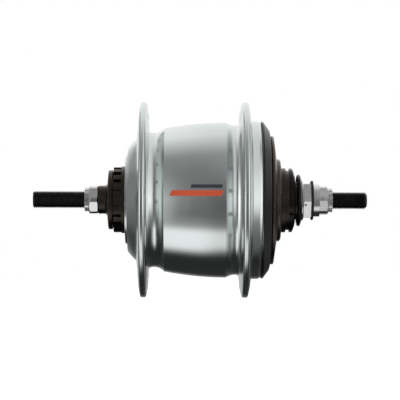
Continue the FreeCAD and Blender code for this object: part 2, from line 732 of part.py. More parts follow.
def make_right_cone():
    seat = driver_bearing
    body = turned("right_cone", [
        (d.cone_inner_s, d.cone_bore_r), (d.cone_inner_s, d.cone_tube_r),
        (seat.station - d.cone_step, d.cone_tube_r), (seat.station - d.cone_step, seat.inner),
        (seat.station, seat.inner, seat.race),
        (seat.station + seat.reach(d.cone_shoulder_r), d.cone_shoulder_r),
        (d.cone_end_s, d.cone_shoulder_r), (d.cone_end_s, d.thread_pitch_r),
        (d.web_s, d.thread_pitch_r), (d.web_s, d.cone_bore_r)])
    sector(body, "fingers", d.web_s, d.cone_end_s, d.cone_bore_r,
           d.window_turn, d.window_angle, 2)
    keep("right_cone", body)
    bead = d.bead_end_s - d.bead_start_s
    back = d.cone_end_s - d.seal_wall
    seal = turned("right_seal", [
        (d.bead_start_s, d.bead_r - bead / 2), (d.bead_start_s + bead / 2, d.bead_r - bead),
        (back, d.seal_foot_r), (back, d.cone_shoulder_r), (d.cone_end_s, d.cone_shoulder_r),
        (d.cone_end_s, d.seal_foot_r), (d.seal_front_s, d.seal_foot_r),
        (d.seal_front_s, d.seal_front_r), (d.bead_end_s, d.bead_r - bead / 2, bead / 2),
        (d.bead_start_s + bead / 2, d.bead_r, bead / 2)])
    keep("right_seal", seal)


def blind_hole(body, radius, floor, station, turn):
    """Drill toward the axle line at a station, down to a floor at a distance from that line."""
    before = body.Shape.Volume
    drill = body.newObject("PartDesign::SubtractiveCylinder", "Drill_" + body.Label)
    bind(drill, "Radius", radius)
    bind(drill, "Height", floor)
    bearing = math.radians(dim(turn).value)
    outward = V(math.cos(bearing), 0, math.sin(bearing))
    drill.Placement = FreeCAD.Placement(V(0, 0, 0), FreeCAD.Rotation(V(0, 0, 1), outward))
    bind(drill, "Placement.Base.x", floor * outward.x)
    bind(drill, "Placement.Base.y", -dim(station))
    bind(drill, "Placement.Base.z", floor * outward.z)
    cut_check(body, before, "drill")


def make_right_stack():
    nut = hexagon("right_cone_nut", d.big_hex_s, d.big_hex_end_s, d.big_hex_flats,
                  d.big_hex_corner_r, (d.edge_break, d.edge_break), d.big_hex_turn)
    blind_hole(nut, d.pin_hole_r, d.pin_hole_floor, d.pin_hole_s, d.pin_hole_turn)
    bulge = (d.o_ring_s - d.big_hex_end_s) / 2
    ring = turned("right_o_ring", [
        (d.big_hex_end_s, d.spacer_r), (d.big_hex_end_s, d.o_ring_r - bulge, -bulge),
        (d.big_hex_end_s + bulge, d.o_ring_r, -bulge), (d.o_ring_s, d.o_ring_r - bulge),
        (d.o_ring_s, d.spacer_r)])
    keep("right_o_ring", ring)
    spacer = turned("right_spacer", [
        (d.big_hex_end_s, d.thread_pitch_r), (d.big_hex_end_s, d.spacer_r),
        (d.right_nut_inner, d.spacer_r), (d.right_nut_inner, d.thread_pitch_r)])
    keep("right_spacer", spacer)


def make_sleeve():
    edge = d.edge_break
    body = turned("shift_sleeve", [
        (d.sleeve_left_s, d.sleeve_bore_r), (d.sleeve_left_s, d.sleeve_r),
        (d.collar_in_s, d.sleeve_r), (d.collar_in_s, d.collar_out_r - edge),
        (d.collar_in_s + edge, d.collar_out_r), (d.collar_out_s - edge, d.collar_out_r),
        (d.collar_out_s, d.collar_out_r - edge), (d.collar_out_s, d.collar_bore_r),
        (d.collar_in_s, d.collar_bore_r), (d.collar_in_s, d.sleeve_bore_r)])
    half = d.finger_width / 2
    far = d.sleeve_r + d.over

    def beside_finger(sketch):
        draw_loop(sketch, [(-far, half), (far, half), (far, far), (-far, far)])

    pocket(body, "fingers", beside_finger, d.collar_in_s, d.collar_in_s - d.finger_s, 2)
    slot = block(d.collar_out_r - d.collar_slot_depth, d.collar_out_r + d.over, d.collar_slot / 2)
    pocket(body, "slots", slot, d.collar_out_s, d.collar_out_s - d.collar_in_s, 2,
           d.collar_slot_turn)
    start, end = {name: faces for name, *faces in sun_faces()}["high"]
    sector(body, "pawl", start - d.face_gap / 4, end + d.face_gap / 4, far,
           d.pawl_window_turn, d.pawl_window_angle)
    return keep("shift_sleeve", body)


def along_axle(obj, station, x=0.0, z=0.0):
    """Lay a Part primitive whose own axis is Z along the axle, starting at a station."""
    obj.Placement = FreeCAD.Placement(V(0, 0, 0), FreeCAD.Rotation(V(1, 0, 0), 90))
    bind(obj, "Placement.Base.x", x)
    bind(obj, "Placement.Base.y", -dim(station))
    bind(obj, "Placement.Base.z", z)
    return obj


def rod(name, radius, start, end, x=0.0, z=0.0):
    cylinder = doc.addObject("Part::Cylinder", name)
    bind(cylinder, "Radius", radius)
    bind(cylinder, "Height", dim(end) - dim(start))
    return along_axle(cylinder, start, x, z)


def cut(name, base, tool):
    result = doc.addObject("Part::Cut", name)
    result.Base = base
    result.Tool = tool
    doc.recompute()
    return result


def union(name, shapes):
    result = doc.addObject("Part::MultiFuse", name)
    result.Shapes = shapes
    result.Refine = True
    doc.recompute()
    return result


def make_pawl(name, start, end, slope):
    """Lever with a round heel, leaning up by its slope from its pivot."""
    start, end = dim(start) + d.pawl_side_gap, dim(end) - d.pawl_side_gap
    heel = rod(name + "_heel", d.pawl_heel_r, start, end, d.pawl_heel_x, d.pawl_heel_z)
    lever = doc.addObject("Part::Box", name + "_lever")
    bind(lever, "Length", d.pawl_length)
    bind(lever, "Width", end - start)
    bind(lever, "Height", d.pawl_thickness)
    lean = math.radians(slope)
    half = d.pawl_thickness / 2
    lever.Placement = FreeCAD.Placement(V(0, 0, 0), FreeCAD.Rotation(V(0, -1, 0), slope))
    bind(lever, "Placement.Base.x", d.pawl_heel_x + half * math.sin(lean))
    bind(lever, "Placement.Base.y", -end)
    bind(lever, "Placement.Base.z", d.pawl_heel_z - half * math.cos(lean))
    return union(name, [heel, lever])


def make_pawls():
    faces = {name: (start, end) for name, start, end in sun_faces()}
    keep("sun_pawl_high", make_pawl("sun_pawl_high", *faces["high"], d.pawl_raise.value))
    low = make_pawl("pawl_low", *faces["low"], 0.0)
    mid = make_pawl("pawl_mid", *faces["mid"], 0.0)
    keep("sun_pawls_free", union("sun_pawls_free", [low, mid]))


def make_thrust_washers():
    inner = d.sun_bore_r
    width = d.thrust_washer_width
    middles = [d.mid_step_start, d.mid_step_end, d.high_step_end, d.low_step_end]
    keep("thrust_washers", turned("thrust_washers", *[
        [(middle - width / 2, inner), (middle - width / 2, d.thrust_washer_r),
         (middle + width / 2, d.thrust_washer_r), (middle + width / 2, inner)]
        for middle in middles]))


# ---------------------------------------------------------------- gears

def involute_point(base, radius, start_angle):
    """Point of the involute of a base circle at a radius, in polar form."""
    roll = math.acos(min(base / radius, 1.0))
    return radius, start_angle + math.tan(roll) - roll


def tooth_outline(teeth, internal, phase):
    """Corner points of a gear outline in X and Z, with a tooth centred at the phase angle.

    An internal gear is drawn as the outline of its tooth spaces.
    """
    module = d.gear_module.value
    pitch = teeth * module / 2
    base = pitch * math.cos(math.radians(d.pressure_angle.value))
    rise = (d.dedendum if internal else d.addendum).value * module
    sink = (d.addendum if internal else d.dedendum).value * module
    thick = math.pi * module / 2 + (1 if internal else -1) * d.thinning.value
    tip, root = pitch + rise, pitch - sink
    pitch_roll = math.tan(math.acos(base / pitch)) - math.acos(base / pitch)
    flank_start = -thick / (2 * pitch) - pitch_roll
    low = max(root, base)
    radii = [low, (low + pitch) / 2, pitch, (pitch + tip) / 2, tip]
    flank = [involute_point(base, radius, flank_start) for radius in radii]
    if root < base:
        flank.insert(0, (root, flank_start))
    points = []
    for tooth in range(teeth):
        centre = phase + 2 * math.pi * tooth / teeth
        for radius, angle in flank:
            points.append((radius, centre + angle))
        for radius, angle in reversed(flank):
            points.append((radius, centre - angle))
    return [V(radius * math.cos(angle), 0, radius * math.sin(angle)) for radius, angle in points]


def gear_blank(name, teeth, start, end, internal=False, phase=0.0, x=0.0, z=0.0):
    """Toothed prism between two stations, extruded from a computed outline."""
    start, end = dim(start), dim(end)
    count = int(dim(teeth).value)
    corners = tooth_outline(count, internal, phase)
    outline = doc.addObject("Part::Feature", name + "_outline")
    outline.Shape = Part.Face(Part.makePolygon(corners + corners[:1]))
    outline.Placement = FreeCAD.Placement(V(0, 0, 0), FreeCAD.Rotation())
    bind(outline, "Placement.Base.x", x)
    bind(outline, "Placement.Base.y", -end)
    bind(outline, "Placement.Base.z", z)
    prism = doc.addObject("Part::Extrusion", name + "_prism")
    prism.Base = outline
    prism.DirMode = "Custom"
    prism.Dir = V(0, 1, 0)
    prism.Solid = True
    bind(prism, "LengthFwd", end - start)
    doc.recompute()
    return prism


def make_sun(name, teeth, start, end, bore, phase=0.0):
    blank = gear_blank(name, teeth, start, end, phase=phase)
    hole = rod(name + "_bore", bore, dim(start) - d.over, dim(end) + d.over)
    return cut(name, blank, hole)


def make_suns():
    fixed = make_sun("sun_gear_reduction", d.sun_fixed_teeth, d.cone_inner_s,
                     d.sun_step_end + d.plate_gap / 2, d.cone_tube_r)
    keep("sun_gear_reduction", fixed)
    faces = {name: (start, end) for name, start, end in sun_faces()}
    half_tooth = math.pi / d.sun_mid_teeth.value
    keep("sun_gear_mid", make_sun(
        "sun_gear_mid", d.sun_mid_teeth, *faces["mid"], d.sun_bore_r, half_tooth))
    keep("sun_gear_low", make_sun("sun_gear_low", d.sun_low_teeth, *faces["low"], d.sun_bore_r))
    start, end = faces["high"]
    sun = make_sun("sun_high_plain", d.sun_high_teeth, start, end, d.sun_bore_r)
    notches = doc.addObject("Part::Feature", "sun_high_notches")
    notches.Shape = ratchet_prisms(dim(end) - dim(start))
    bind(notches, "Placement.Base.y", -dim(end))
    keep("sun_gear_high", cut("sun_gear_high", sun, notches))


def ratchet_prisms(width):
    """Saw-tooth notches around the bore of the locked sun, one compound of prisms."""
    inner = d.sun_bore_r.value - d.run_gap.value
    prisms = []
    for number in range(int(d.notch_count.value)):
        turn = 360.0 * number / d.notch_count.value
        corners = []
        for radius, angle in ((inner, d.notch_lead.value), (d.notch_r.value, d.notch_peak.value),
                              (inner, d.notch_tail.value)):
            bearing = math.radians(angle + turn)
            corners.append(V(radius * math.cos(bearing), 0, radius * math.sin(bearing)))
        face = Part.Face(Part.makePolygon(corners + corners[:1]))
        prisms.append(face.extrude(V(0, width.value, 0)))
    return Part.makeCompound(prisms)


def planet_places():
    """X and Z of the three planet axes, as formulas."""
    places = []
    for number in range(int(d.planet_count.value)):
        bearing = 2 * math.pi * number / d.planet_count.value
        places.append((d.planet_circle_r * math.cos(bearing), d.planet_circle_r * math.sin(bearing)))
    return places


def facing_space(teeth):
    """Phase that puts a tooth space toward the axle for a planet on the +X side."""
    return math.pi + math.pi / dim(teeth).value


def make_planets():
    first = [("a", d.planet_ring_teeth, d.ring_step_start, d.ring_step_end, 0.0),
             ("b", d.planet_sun_teeth, d.ring_step_end, d.sun_step_end,
              facing_space(d.planet_sun_teeth))]
    high_teeth = d.planet_circle_r * 2 / d.gear_module - d.sun_high_teeth
    mid_teeth = d.planet_circle_r * 2 / d.gear_module - d.sun_mid_teeth
    low_teeth = d.planet_circle_r * 2 / d.gear_module - d.sun_low_teeth
    second = [("a", mid_teeth, d.mid_step_start, d.mid_step_end, 0.0),
              ("b", high_teeth, d.mid_step_end, d.high_step_end, facing_space(high_teeth)),
              ("c", low_teeth, d.high_step_end, d.low_step_end, facing_space(low_teeth))]
    for stage, steps in (("planet_reduction", first), ("planet_overdrive", second)):
        for number, (x, z) in enumerate(planet_places(), 1):
            name = "%s_%d" % (stage, number)
            blanks = [gear_blank(name + step, teeth, start, end, phase=phase, x=x, z=z)
                      for step, teeth, start, end, phase in steps]
            bore = rod(name + "_bore", d.pin_r + d.run_gap, steps[0][2] - d.over,
                       steps[-1][3] + d.over, x, z)
            keep(name, cut(name, union(name + "_steps", blanks), bore))


def make_ring_gears():
    bell = turned("bell", [
        (d.bell_left_s, d.bell_rim_r - d.ring_blank), (d.bell_left_s, d.bell_r),
        (d.bell_seat_s, d.bell_r),
        (d.bell_seat_s, d.bell_seat_r), (d.bell_back_s, d.bell_seat_r),
        (d.bell_back_s, d.bell_rim_r), (d.ring_step_end, d.bell_rim_r),
        (d.ring_step_end, d.bell_rim_r - d.ring_blank)])
    spaces = gear_blank("input_spaces", d.ring_input_teeth, d.bell_left_s - d.over,
                        d.ring_step_end + d.over, internal=True)
    keep("ring_gear_input", cut("ring_gear_input", bell, spaces))
    rim = turned("output_rim", [
        (d.mid_step_start, d.small_bore_r - d.ring_blank), (d.mid_step_start, d.small_bore_r),
        (d.mid_step_end, d.small_bore_r), (d.mid_step_end, d.small_bore_r - d.ring_blank)])
    spaces = gear_blank("output_spaces", d.ring_output_teeth, d.mid_step_start - d.over,
                        d.mid_step_end + d.over, internal=True)
    keep("ring_gear_output", cut("ring_gear_output", rim, spaces))


# ---------------------------------------------------------------- carriers and clutch

def make_carrier(name, left, right, outer, left_bore, right_bore, pin_name):
    """Drum with two end plates; round windows let the planets reach their ring gear."""
    left, right = dim(left), dim(right)
    inner_left, inner_right = left + d.plate, right - d.plate
    body = turned(name, [
        (left, left_bore), (left, outer), (right, outer), (right, right_bore),
        (inner_right, right_bore), (inner_right, d.drum_wall_r),
        (inner_left, d.drum_wall_r), (inner_left, left_bore)])
    pocket(body, "windows", disc(d.planet_circle_r, d.window_r), inner_right,
           inner_right - inner_left, d.planet_count)
    pocket(body, "pin_holes", disc(d.planet_circle_r, d.pin_r), right,
           right - left, d.planet_count)
    keep(name, body)
    pins = [rod("%s_%d" % (pin_name, number), d.pin_r, left, right, x, z)
            for number, (x, z) in enumerate(planet_places(), 1)]
    keep(pin_name, union(pin_name, pins))


def make_clutch():
    cam = turned("clutch_cam", [
        (d.drum2_right_s, d.carrier_bore), (d.drum2_right_s, d.cam_hub_r),
        (d.cam_left_s, d.cam_hub_r), (d.cam_left_s, d.cam_r), (d.cam_right_s, d.cam_r),
        (d.cam_right_s, d.cam_hub_r), (d.drum_left_s, d.cam_hub_r), (d.drum_left_s, d.carrier_bore)])
    keep("clutch_cam", cam)
    places = [2 * math.pi * number / d.roller_count.value
              for number in range(int(d.roller_count.value))]
    rollers = [rod("roller_%d" % number, d.roller_r, d.cam_left_s, d.cam_right_s,
                   d.roller_circle_r * math.cos(bearing), d.roller_circle_r * math.sin(bearing))
               for number, bearing in enumerate(places)]
    keep("clutch_rollers", union("clutch_rollers", rollers))
    left, right = d.cam_left_s - d.cage_margin, d.cam_right_s + d.cage_margin
    cage = turned("roller_cage", [(left, d.cage_in_r), (left, d.cage_out_r),
                                  (right, d.cage_out_r), (right, d.cage_in_r)])
    pocket(cage, "seats", disc(d.roller_circle_r, d.roller_r + d.run_gap),
           d.cam_right_s + d.seat_margin, d.cam_right_s - d.cam_left_s + d.seat_margin * 2,
           d.roller_count)
    keep("roller_cage", cage)
    liner = turned("clutch_race", [(left, d.liner_r), (left, d.bore_r),
                                   (right, d.bore_r), (right, d.liner_r)])
    keep("clutch_race", liner)


# ---------------------------------------------------------------- pieces that turn with the shell

def make_shell():
    rim = d.flange_rim
    below = d.flange_r - rim
    low, high = d.flat_low_r, d.flat_high_r
    left_out, left_in = d.left_flange_s - d.left_flange_half, d.left_flange_s + d.left_flange_half
    left_flat_out = d.left_flange_s - d.left_flat_half
    left_flat_in = d.left_flange_s + d.left_flat_half
    right_in = d.right_flange_s - d.right_flange_half
    right_out = d.right_flange_s + d.right_flange_half
    right_flat_in = d.right_flange_s - d.right_flat_half
    right_flat_out = d.right_flange_s + d.right_flat_half
    body = turned("hub_shell", [
        (d.shell_left_s, d.boss_tail_r), (d.shell_left_s, d.cap_step_r),
        (d.cap_step_s, d.cap_step_r), (d.cap_edge_s, d.cap_edge_r, -d.cap_dome),
        (d.cap_foot_s, d.cap_foot_r), (left_flat_out, low), (left_flat_out, high),
        (left_out, below, -rim), (left_out + rim, d.flange_r), (left_in - rim, d.flange_r, -rim),
        (left_in, below), (left_flat_in, high), (left_flat_in, low),
        (d.left_foot_s, d.left_foot_r, d.neck_left_bend),
        (d.neck_left_s, d.neck_left_r, d.edge_bend),
        (d.edge_s, d.edge_r, -d.crown_a_bend), (d.crown_a_s, d.crown_a_r, -d.crown_b_bend),
        (d.crown_b_s, d.crown_b_r), (d.barrel_step_s, d.barrel_step_r, d.step_bend),
        (d.neck_right_s, d.neck_right_r, d.neck_right_bend), (d.right_foot_s, d.right_foot_r),
        (right_flat_in, low), (right_flat_in, high), (right_in, below, -rim),
        (right_in + rim, d.flange_r), (right_out - rim, d.flange_r, -rim), (right_out, below),
        (right_flat_out, high), (right_flat_out, low),
        (d.collar_start_s, d.collar_r), (d.collar_bevel_s, d.collar_r),
        (d.collar_end_s, d.collar_end_r), (d.collar_end_s, d.mouth_r), (d.mouth_s, d.mouth_r),
        (d.mouth_s, d.bore_r), (d.bore_left_s, d.bore_r), (d.small_bore_s, d.small_bore_r),
        (d.small_bore_left_s, d.small_bore_r), (d.end_wall_s, d.end_wall_r),
        (d.end_wall_s, d.boss_tail_r)])
    half_step = 360.0 / d.spoke_count.value / 2
    for name, middle, circle, turn in (
            ("left", d.left_flange_s, d.spoke_left_r, d.spoke_turn),
            ("right", d.right_flange_s, d.spoke_right_r, d.spoke_turn + half_step)):
        pocket(body, "spokes_" + name, disc(circle, d.spoke_hole_r), middle + d.spoke_reach,
               d.spoke_reach * 2, d.spoke_count, turn)
    return keep("hub_shell", body)


def make_brake_boss():
    seat = left_bearing
    body = turned("brake_spline_ring", [
        (d.boss_outer_s, seat.outer), (d.boss_outer_s, d.spline_tip_r - d.edge_break),
        (d.boss_outer_s + d.edge_break, d.spline_tip_r), (d.spline_end_s, d.spline_tip_r),
        (d.spline_end_s, d.solid_ring_r), (d.boss_end_s, d.solid_ring_r),
        (d.boss_end_s, d.boss_tail_r), (d.boss_tail_s, d.boss_tail_r),
        (d.boss_tail_s, d.boss_lip_r),
        (seat.station + seat.reach(d.boss_lip_r), d.boss_lip_r, seat.race),
        (seat.station, seat.outer)])
    pocket(body, "splines", block(d.spline_root_r, d.spline_tip_r + d.over, d.spline_gap / 2),
           d.spline_end_s, d.spline_end_s - d.boss_outer_s, d.spline_count, d.boss_turn)
    return keep("brake_spline_ring", body)


def make_right_cup():
    seat = main_bearing
    wall = seat.outer + d.cup_wall
    step = d.cup_front_s - d.cup_step
    body = turned("right_ball_cup", [
        (d.cup_back_s, d.cup_lip_r), (d.cup_back_s, d.bore_r), (d.cup_front_s, d.bore_r),
        (d.cup_front_s, d.cup_rim_r), (d.cup_web_s, d.cup_rim_r), (d.cup_web_s, wall),
        (step, wall), (step, seat.outer),
        (seat.station, seat.outer, seat.race),
        (seat.station - seat.reach(d.cup_lip_r), d.cup_lip_r)])
    return keep("right_ball_cup", body)


def make_dust_cap():
    back = d.cap_front_s - d.cap_wall
    body = turned("drive_dust_cap", [
        (d.lip_s, d.mouth_r), (d.lip_s, d.lip_r), (d.lip_front_s, d.lip_r), (d.face_s, d.face_r),
        (d.cap_front_s, d.cap_front_r), (d.cap_front_s, d.cap_hole_r), (back, d.cap_hole_r),
        (back, d.cap_front_r), (d.mouth_s, d.mouth_r - d.cap_skirt), (d.mouth_s, d.mouth_r)])
    return keep("drive_dust_cap", body)


# ---------------------------------------------------------------- pieces that turn with the driver

def make_driver():
    main = main_bearing
    inner = driver_bearing
    body = turned("driver", [
        (d.bell_back_s, d.driver_bore_r), (d.bell_back_s, d.bell_seat_r),
        (d.bell_seat_s, d.bell_seat_r), (d.bell_seat_s, main.inner),
        (main.station, main.inner, main.race),
        (main.station + main.reach(d.driver_shoulder_r), d.driver_shoulder_r),
        (d.driver_shoulder_s, d.driver_shoulder_r), (d.driver_shoulder_s, d.driver_r),
        (d.driver_step_s, d.driver_r), (d.driver_step_s, d.sprocket_seat_r),
        (d.snap_groove_s, d.sprocket_seat_r), (d.snap_groove_s, d.snap_groove_r),
        (d.snap_end_s, d.snap_groove_r), (d.snap_end_s, d.driver_land_r),
        (d.driver_land_s, d.driver_land_r), (d.driver_end_s, d.driver_end_r),
        (d.driver_end_s, inner.outer), (inner.station, inner.outer, inner.race),
        (inner.station - inner.reach(d.driver_bore_r), d.driver_bore_r)])
    pocket(body, "lugs", block(d.driver_r - d.lug_depth, d.driver_r + d.over, d.lug_width / 2),
           d.driver_end_s, d.driver_end_s - d.driver_step_s, d.lug_count, d.lug_turn)
    return keep("driver", body)


def make_driver_rings():
    edge = d.edge_break
    disc_body = turned("driver_dust_disc", [
        (d.disc_s, d.driver_r), (d.disc_s, d.disc_r - edge), (d.disc_s + edge, d.disc_r),
        (d.disc_rim_s - edge, d.disc_r), (d.disc_rim_s, d.disc_r - edge),
        (d.disc_front_s, d.disc_front_r), (d.disc_front_s, d.driver_r)])
    keep("driver_dust_disc", disc_body)
    ring = turned("driver_seal_ring", [
        (d.seal_ring_s, d.driver_r), (d.seal_ring_s, d.seal_ring_r),
        (d.seal_ring_rim_s, d.seal_ring_r), (d.seal_ring_front_s, d.seal_ring_front_r),
        (d.seal_ring_front_s, d.driver_r)])
    keep("driver_seal_ring", ring)
    snap = turned("snap_ring", [
        (d.snap_groove_s + d.snap_play, d.snap_groove_r), (d.snap_groove_s + d.snap_play, d.snap_r),
        (d.snap_end_s - d.snap_play, d.snap_r), (d.snap_end_s - d.snap_play, d.snap_groove_r)])
    pocket(snap, "opening", block(d.snap_groove_r - d.over, d.snap_r + d.over, d.snap_opening / 2),
           d.snap_end_s, d.snap_end_s - d.snap_groove_s, 1, d.lug_turn)
    keep("snap_ring", snap)


# ---------------------------------------------------------------- ball sets and cages

def make_balls(prefix, seat, shoulder, near, far):
    """Balls and their cage; the cage is an open ring between two stations beside the balls."""
    ball_set(prefix + "_balls", seat.station, seat.pitch, seat.ball, seat.count)
    inside, outside = shoulder + d.cage_gap, seat.outer - d.cage_gap
    ball_cage(prefix + "_ball_cage", [
        (seat.station + near, inside), (seat.station + near, outside),
        (seat.station + far, outside), (seat.station + far, inside)],
        seat.station, seat.pitch, seat.ball + d.ball_play, seat.count)


def make_bearings():
    make_balls("left", left_bearing, d.left_shoulder_r, -d.left_cage_far, -d.cage_near)
    make_balls("driver", driver_bearing, d.cone_shoulder_r, d.cage_near, d.driver_cage_far)
    make_balls("main", main_bearing, d.driver_shoulder_r, d.cage_near, d.main_cage_far)


# ---------------------------------------------------------------- assembly

make_axle()
make_locknuts()
make_toothed_washer("toothed_washer_left", d.left_nut_outer - d.toothed_width)
make_toothed_washer("toothed_washer_right", d.right_nut_outer)
make_left_cone()
make_right_cone()
make_right_stack()
make_sleeve()
make_pawls()
make_thrust_washers()
make_suns()
make_planets()
make_ring_gears()
make_carrier("carrier_reduction", d.drum_left_s, d.drum_right_s, d.drum_r,
             d.carrier_bore, d.right_plate_bore, "planet_pins_reduction")
make_carrier("carrier_overdrive", d.drum2_left_s, d.drum2_right_s, d.drum2_r,
             d.carrier_bore, d.carrier_bore, "planet_pins_overdrive")
make_clutch()
make_shell()
make_brake_boss()
make_right_cup()
make_dust_cap()
make_driver()
make_driver_rings()
make_bearings()
doc.recompute()


# ---------------------------------------------------------------- checks and export

def check_document():
    for obj in doc.Objects:
        if "Invalid" in obj.State or "Error" in obj.State:
            raise ValueError("%s is in state %s" % (obj.Label, obj.State))
    for name, obj in nodes.items():
        if obj.Shape.isNull() or not obj.Shape.isValid() or not obj.Shape.Solids:
            raise ValueError("%s has no valid solid" % name)


def export_parts():
    os.makedirs("parts", exist_ok=True)
    for name, obj in nodes.items():
        obj.Shape.exportStep(os.path.join("parts", name + ".step"))


check_document()
export_parts()
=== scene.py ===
import json
import math

import bmesh
import bpy
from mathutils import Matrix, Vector
from mathutils.bvhtree import BVHTree


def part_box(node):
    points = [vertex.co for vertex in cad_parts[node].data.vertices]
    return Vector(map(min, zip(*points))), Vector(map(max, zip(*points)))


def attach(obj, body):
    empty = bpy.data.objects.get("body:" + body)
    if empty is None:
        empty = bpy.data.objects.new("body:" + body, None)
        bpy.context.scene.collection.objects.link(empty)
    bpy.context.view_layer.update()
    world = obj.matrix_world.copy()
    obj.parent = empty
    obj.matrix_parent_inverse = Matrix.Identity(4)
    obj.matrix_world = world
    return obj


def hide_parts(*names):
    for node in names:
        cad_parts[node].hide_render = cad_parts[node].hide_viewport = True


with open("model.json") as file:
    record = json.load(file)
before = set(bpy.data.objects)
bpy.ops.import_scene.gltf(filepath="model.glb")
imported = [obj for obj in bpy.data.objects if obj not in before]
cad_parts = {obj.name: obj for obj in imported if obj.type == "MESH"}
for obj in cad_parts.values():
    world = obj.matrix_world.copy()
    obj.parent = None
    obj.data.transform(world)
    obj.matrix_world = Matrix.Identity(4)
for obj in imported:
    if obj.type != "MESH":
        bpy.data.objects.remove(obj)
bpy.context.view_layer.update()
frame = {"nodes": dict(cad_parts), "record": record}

# Bicycle hub gear. Metres. The axle lies along Y, brake side at +Y, drive side at -Y, +Z up.
# The camera stands square-on at -X, so the drive side is on the right of its picture.

MM = 0.001
NODES = frame["nodes"]


# ---------------------------------------------------------------- places taken from the frame

def span_y(node):
    """Lowest and highest Y of a CAD node."""
    low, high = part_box(node)
    return low[1], high[1]


def radius_of(node):
    """Largest radius of a CAD node about the axle."""
    low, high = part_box(node)
    return max(high[2], -low[2])


AXLE_LOW, AXLE_HIGH = span_y("axle")
AXLE_RADIUS = next(mount["dims"]["r_mm"] for mount in frame["record"]["mounts"]
                   if mount["name"] == "axle_left") * MM
SHELL_RADIUS = radius_of("hub_shell")


# ---------------------------------------------------------------- material building

def new_material(name):
    material = bpy.data.materials.new(name)
    material.use_nodes = True
    tree = material.node_tree
    shader = tree.nodes["Principled BSDF"]
    return material, tree, shader


def add(tree, kind, **settings):
    """A node with its properties and its unlinked inputs set."""
    node = tree.nodes.new(kind)
    for key, value in settings.items():
        if key in node.inputs:
            node.inputs[key].default_value = value
        else:
            setattr(node, key, value)
    return node


def link(tree, source, socket, target, target_socket):
    tree.links.new(source.outputs[socket], target.inputs[target_socket])


def math_node(tree, operation, first, second=None):
    """Math node; an operand is a number or a (node, socket) pair."""
    node = tree.nodes.new("ShaderNodeMath")
    node.operation = operation
    for index, operand in enumerate((first, second)):
        if operand is None:
            continue
        if isinstance(operand, tuple):
            tree.links.new(operand[0].outputs[operand[1]], node.inputs[index])
        else:
            node.inputs[index].default_value = operand
    return node


def ramp(tree, source, socket, stops):
    """Colour ramp through (position, grey or colour) stops."""
    node = tree.nodes.new("ShaderNodeValToRGB")
    elements = node.color_ramp.elements
    while len(elements) < len(stops):
        elements.new(0.5)
    for element, (position, colour) in zip(elements, stops):
        element.position = position
        if not isinstance(colour, tuple):
            colour = (colour, colour, colour)
        element.color = colour + (1.0,)
    link(tree, source, socket, node, "Fac")
    return node


def axle_coordinates(tree):
    """The object coordinates, and from them the distance along the axle and from it."""
    place = add(tree, "ShaderNodeTexCoord")
    parts = add(tree, "ShaderNodeSeparateXYZ")
    link(tree, place, "Object", parts, "Vector")
    square_x = math_node(tree, "MULTIPLY", (parts, "X"), (parts, "X"))
    square_z = math_node(tree, "MULTIPLY", (parts, "Z"), (parts, "Z"))
    radius = math_node(tree, "SQRT", (math_node(tree, "ADD", (square_x, 0), (square_z, 0)), 0))
    return place, (parts, "Y"), (radius, 0)


def rounded_edges(tree, radius):
    """Shading normal that rounds sharp edges, as real broken edges catch the light."""
    return add(tree, "ShaderNodeBevel", samples=4, Radius=radius)


def turning_marks(tree, shader, along, radius, pitch, strength, edge):
    """Fine lathe rings: a bump that repeats along the axle and along the radius."""
    total = math_node(tree, "ADD", along, radius)
    phase = math_node(tree, "MULTIPLY", (total, 0), 2 * math.pi / pitch)
    wave = math_node(tree, "SINE", (phase, 0))
    bump = add(tree, "ShaderNodeBump", Strength=strength, Distance=pitch * 0.1)
    link(tree, wave, 0, bump, "Height")
    link(tree, rounded_edges(tree, edge), "Normal", bump, "Normal")
    link(tree, bump, "Normal", shader, "Normal")


def metal(name, colour, roughness, spread=0.06, marks=0.3 * MM, mark_strength=0.08, grime=0.15,
          speckle=900.0, edge=0.15 * MM):
    """Turned metal: noise in colour and roughness, rounded edges and fine lathe rings."""
    material, tree, shader = new_material(name)
    place, along, radius = axle_coordinates(tree)
    cloud = add(tree, "ShaderNodeTexNoise", Scale=90.0, Detail=4.0, Roughness=0.6)
    link(tree, place, "Object", cloud, "Vector")
    grain = add(tree, "ShaderNodeTexNoise", Scale=speckle, Detail=2.0, Roughness=0.5)
    link(tree, place, "Object", grain, "Vector")
    dark = tuple(channel * (1.0 - grime) for channel in colour)
    tint = ramp(tree, cloud, "Fac", [(0.3, dark), (0.7, colour)])
    link(tree, tint, "Color", shader, "Base Color")
    low, high = max(roughness - spread, 0.03), roughness + spread
    mixed = math_node(tree, "MULTIPLY", (grain, "Fac"), (cloud, "Fac"))
    rough = add(tree, "ShaderNodeMapRange")
    link(tree, mixed, 0, rough, "Value")
    rough.inputs["From Min"].default_value = 0.1
    rough.inputs["From Max"].default_value = 0.45
    rough.inputs["To Min"].default_value = low
    rough.inputs["To Max"].default_value = high
    link(tree, rough, "Result", shader, "Roughness")
    shader.inputs["Metallic"].default_value = 1.0
    turning_marks(tree, shader, along, radius, marks, mark_strength, edge)
    return material


